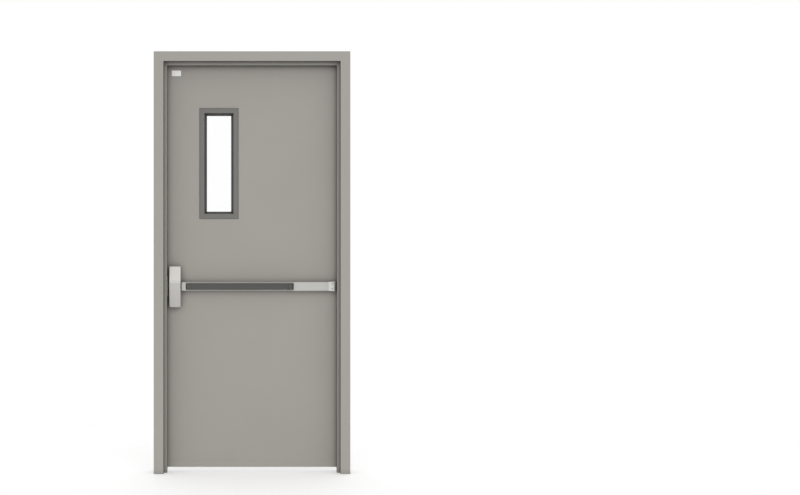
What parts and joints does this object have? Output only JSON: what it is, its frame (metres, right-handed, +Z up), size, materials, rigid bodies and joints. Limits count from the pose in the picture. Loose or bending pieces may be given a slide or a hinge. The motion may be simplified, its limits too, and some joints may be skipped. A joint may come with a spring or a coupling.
{
  "type": "fire door with frame and exit device",
  "caption": "Flush steel fire door leaf in a pressed-steel double-rabbet frame, with a narrow vision panel and a push-bar rim exit device.",
  "frame": {"origin": "middle of the underside of the hinge jamb's floor clip, half way through the depth of the frame", "axes": "+X to the right as seen from the push side, +Y from the push side to the pull side, +Z up"},
  "size_m": [1.016, 0.1625, 2.1844],
  "materials": {
    "frame_paint": "satin",
    "leaf_paint": "satin",
    "zinc_coated_steel": "satin",
    "hinge_steel": "satin",
    "bolt_steel": "satin",
    "core_board": "matte",
    "vision_paint": "satin",
    "glazing_tape": "matte",
    "fire_glass": "gloss",
    "device_cover": "satin",
    "rail_aluminium": "satin",
    "pad_plastic": "matte"
  },
  "bodies": {
    "frame": {"hinge_jamb": "frame_paint", "strike_jamb": "frame_paint", "frame_head": "frame_paint", "hinge_jamb_floor_clip": "zinc_coated_steel", "strike_jamb_floor_clip": "zinc_coated_steel", "hinge_jamb_wall_anchors": "zinc_coated_steel", "strike_jamb_wall_anchors": "zinc_coated_steel", "hinge_reinforcements": "zinc_coated_steel", "strike_reinforcement": "zinc_coated_steel", "strike_plate": "hinge_steel", "hinge_frame_plate_bottom": "hinge_steel", "hinge_frame_plate_middle": "hinge_steel", "hinge_frame_plate_top": "hinge_steel", "hinge_pin_bottom": "hinge_steel", "hinge_pin_middle": "hinge_steel", "hinge_pin_top": "hinge_steel"},
    "leaf": {"leaf_push_skin": "leaf_paint", "leaf_pull_skin": "leaf_paint", "leaf_core": "core_board", "leaf_top_channel": "leaf_paint", "leaf_bottom_channel": "leaf_paint", "leaf_hinge_reinforcements": "zinc_coated_steel", "hinge_leaf_plate_bottom": "hinge_steel", "hinge_leaf_plate_middle": "hinge_steel", "hinge_leaf_plate_top": "hinge_steel", "vision_frame_push": "vision_paint", "vision_frame_pull": "vision_paint", "glazing_gasket_push": "glazing_tape", "glazing_gasket_pull": "glazing_tape", "vision_glass": "fire_glass", "latch_case": "device_cover", "latch_base_plate": "zinc_coated_steel", "rail_neck": "device_cover", "rail": "rail_aluminium", "rail_cover": "device_cover", "end_cap": "device_cover", "end_bracket": "zinc_coated_steel", "pad_guide_posts": "zinc_coated_steel", "through_bolt_caps": "bolt_steel"},
    "push_pad": {"push_pad": "pad_plastic", "pad_carrier": "zinc_coated_steel"},
    "latch_bolt": {"latch_bolt": "bolt_steel"}
  },
  "joints": [
    {"name": "leaf_swing", "type": "hinge", "parent": "frame", "child": "leaf", "pos_m": [-0.028, 0.082, 1.13], "axis": [0, 0, -1], "range_deg": [0, 180]},
    {"name": "pad_press", "type": "slide", "parent": "leaf", "child": "push_pad", "axis": [0, 1, 0], "range_m": [0, 0.009], "stiffness_N_per_m": 1500, "springref_m": -0.01},
    {"name": "latch_retract", "type": "slide", "parent": "leaf", "child": "latch_bolt", "axis": [1, 0, 0], "range_m": [0, 0.0082]}
  ],
  "couplings": [
    {"joint": "latch_retract", "follows": "pad_press", "ratio": 0.9}
  ]
}
